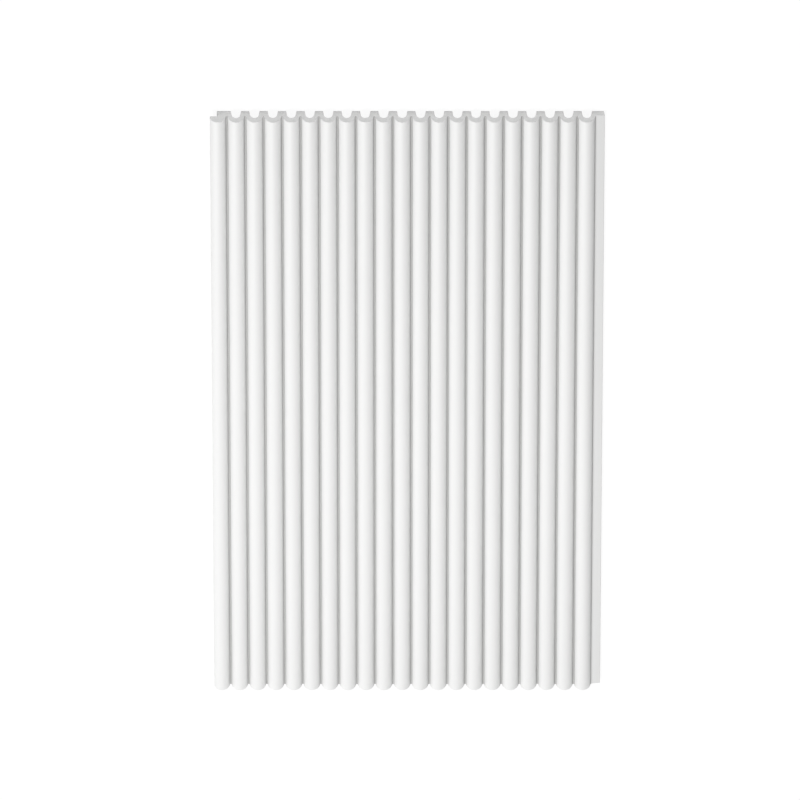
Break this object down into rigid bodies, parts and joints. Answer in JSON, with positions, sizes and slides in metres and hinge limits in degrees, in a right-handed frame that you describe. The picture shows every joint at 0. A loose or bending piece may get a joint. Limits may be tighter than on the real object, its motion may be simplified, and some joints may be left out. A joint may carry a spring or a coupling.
{
  "type": "fluted wall panel",
  "caption": "White extruded wall panel with half-round ribs in front, relieving hollows behind, and a lip and a tongue along its long edges that lap with the next panel.",
  "frame": {"origin": "middle of the panel's footprint, in the plane of its back", "axes": "+X across the ribs from the lip to the tongue, +Y along the ribs, +Z from the back to the crowns of the ribs"},
  "size_m": [0.2566, 0.7, 0.009],
  "materials": {
    "white_foam": "satin white primed skin, matt sawn ends"
  },
  "bodies": {
    "root": {"fluted_panel": "white_foam"}
  },
  "joints": []
}
